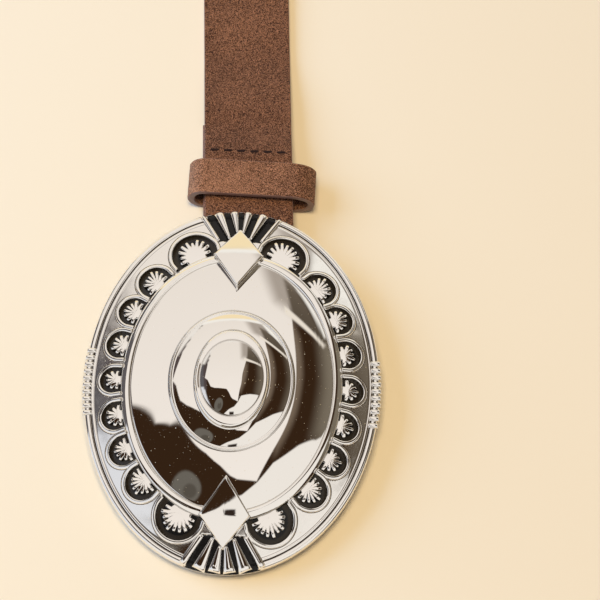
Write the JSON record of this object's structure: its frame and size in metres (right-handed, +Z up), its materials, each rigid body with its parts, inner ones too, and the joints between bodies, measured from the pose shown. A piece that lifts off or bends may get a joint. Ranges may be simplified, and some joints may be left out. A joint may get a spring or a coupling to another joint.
{
  "type": "concho belt",
  "caption": "Suede belt laid open, with a large domed oval concho buckle: cups with half suns, diamonds, ribbed fans, a keeper loop, a strap bar and a hook behind.",
  "frame": {"origin": "bottom centre of the bounding box, on the surface the belt lies on", "axes": "+Y along the strap from the buckle to the tip, +Z up out of the face"},
  "size_m": [0.0738, 1.0078, 0.0197],
  "materials": {
    "suede": "napped suede, painted edges",
    "chrome": "mirror polish, black enamel in the recesses"
  },
  "bodies": {
    "root": {"strap": "suede", "keeper": "suede", "buckle": "chrome"}
  },
  "joints": []
}
